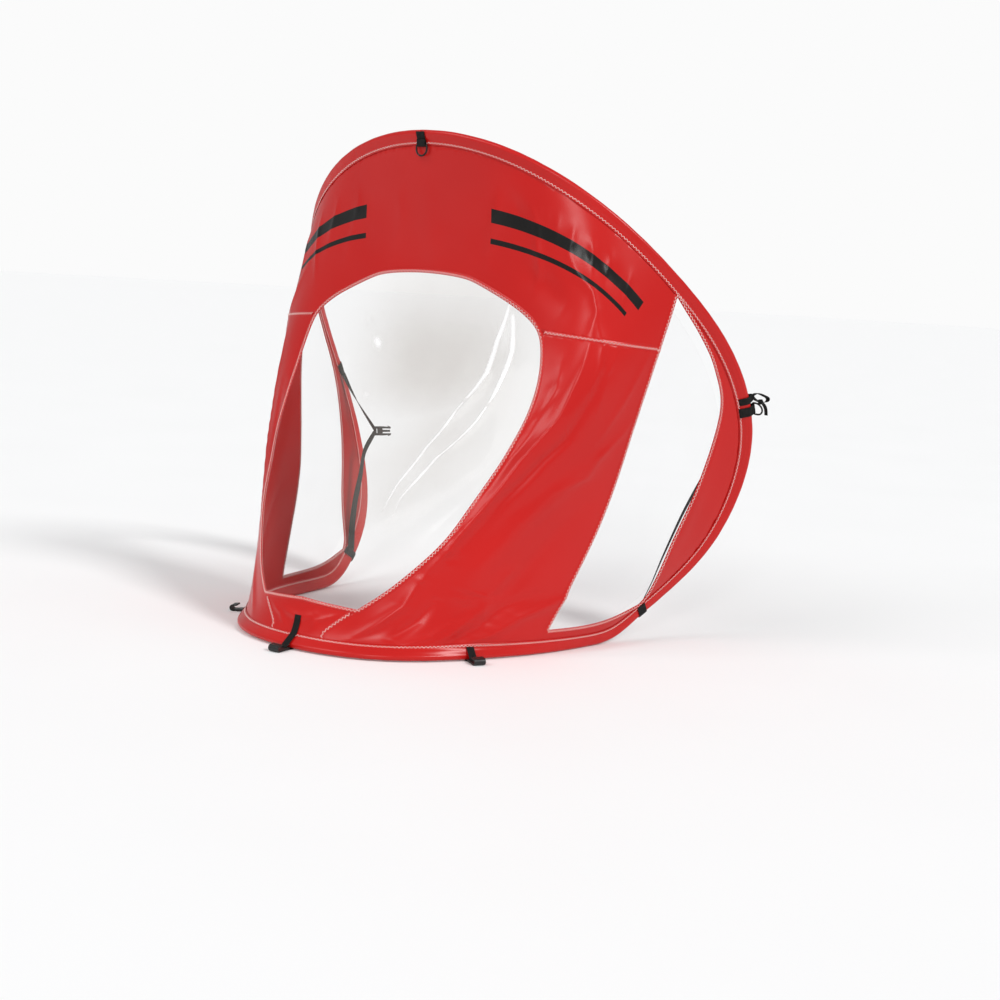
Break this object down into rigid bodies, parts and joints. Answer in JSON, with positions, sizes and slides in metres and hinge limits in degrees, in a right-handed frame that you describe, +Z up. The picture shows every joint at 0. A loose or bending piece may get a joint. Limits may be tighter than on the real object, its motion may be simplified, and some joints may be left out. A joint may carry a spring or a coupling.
{
  "type": "canoe sail",
  "caption": "Pop up sail for a canoe or kayak: saddle shaped cloth hood on a closed spring hoop, with clear windows, deck hooks, wire rings and slack side straps.",
  "frame": {"origin": "centre of the overall box at the deck plane that the lower rim lies on", "axes": "+X towards the bow of the boat, +Y to the left, +Z up"},
  "size_m": [0.6342, 0.8922, 0.7701],
  "materials": {
    "red_cloth": "coated ripstop cloth with a soft sheen",
    "clear_vinyl": "clear soft vinyl sheet",
    "black_webbing": "woven webbing",
    "black_plastic": "moulded, satin",
    "black_wire": "black coated wire",
    "hoop_rod": "glass fibre rod",
    "ferrule_brass": "plain drawn tube"
  },
  "bodies": {
    "hood": {"upper_panel": "red_cloth", "left_pillar_panel": "red_cloth", "right_pillar_panel": "red_cloth", "left_rear_strip": "red_cloth", "right_rear_strip": "red_cloth", "front_panel": "red_cloth", "left_base_sleeve": "red_cloth", "right_base_sleeve": "red_cloth", "left_rear_sleeve": "red_cloth", "right_rear_sleeve": "red_cloth", "left_upper_sleeve": "red_cloth", "right_upper_sleeve": "red_cloth", "main_window": "clear_vinyl", "left_side_window": "clear_vinyl", "right_side_window": "clear_vinyl", "hoop_rod": "hoop_rod", "hoop_ferrule": "ferrule_brass", "top_tab": "black_webbing", "front_tab": "black_webbing", "left_base_tab": "black_webbing", "right_base_tab": "black_webbing", "left_side_tab": "black_webbing", "right_side_tab": "black_webbing", "left_lower_tab": "black_webbing", "right_lower_tab": "black_webbing", "left_side_strap": "black_webbing", "right_side_strap": "black_webbing", "left_tie_strap": "black_webbing"},
    "top_ring": {"top_ring": "black_wire"},
    "left_side_ring": {"left_side_ring": "black_wire"},
    "right_side_ring": {"right_side_ring": "black_wire"},
    "front_hook": {"front_hook": "black_plastic"},
    "left_base_hook": {"left_base_hook": "black_plastic"},
    "right_base_hook": {"right_base_hook": "black_plastic"},
    "right_side_buckle": {"right_side_buckle": "black_plastic"}
  },
  "joints": [
    {"name": "top_ring_swing", "type": "hinge", "parent": "hood", "child": "top_ring", "pos_m": [0.03417, 0, 0.74704], "axis": [0, 1, 0], "range_deg": [-140, 5]},
    {"name": "left_side_ring_swing", "type": "hinge", "parent": "hood", "child": "left_side_ring", "pos_m": [-0.28554, 0.42872, 0.37552], "axis": [0.4511, 0.0289, 0.892], "range_deg": [-60, 15]},
    {"name": "right_side_ring_swing", "type": "hinge", "parent": "hood", "child": "right_side_ring", "pos_m": [-0.28554, -0.42872, 0.37552], "axis": [0.4511, -0.0289, 0.892], "range_deg": [-180, 60]},
    {"name": "front_hook_lift", "type": "hinge", "parent": "hood", "child": "front_hook", "pos_m": [0.29229, 0, 0.00341], "axis": [0, 1, 0], "range_deg": [-75, 0]},
    {"name": "left_base_hook_lift", "type": "hinge", "parent": "hood", "child": "left_base_hook", "pos_m": [0.13951, 0.22872, 0.00341], "axis": [-0.8996, 0.4367, 0], "range_deg": [-65, 0]},
    {"name": "right_base_hook_lift", "type": "hinge", "parent": "hood", "child": "right_base_hook", "pos_m": [0.13951, -0.22872, 0.00341], "axis": [-0.8996, -0.4367, 0], "range_deg": [0, 65]},
    {"name": "right_side_buckle_turn", "type": "hinge", "parent": "hood", "child": "right_side_buckle", "pos_m": [-0.27579, -0.32829, 0.26343], "axis": [0.4753, 0.2902, 0.8306], "range_deg": [-35, 35]}
  ]
}
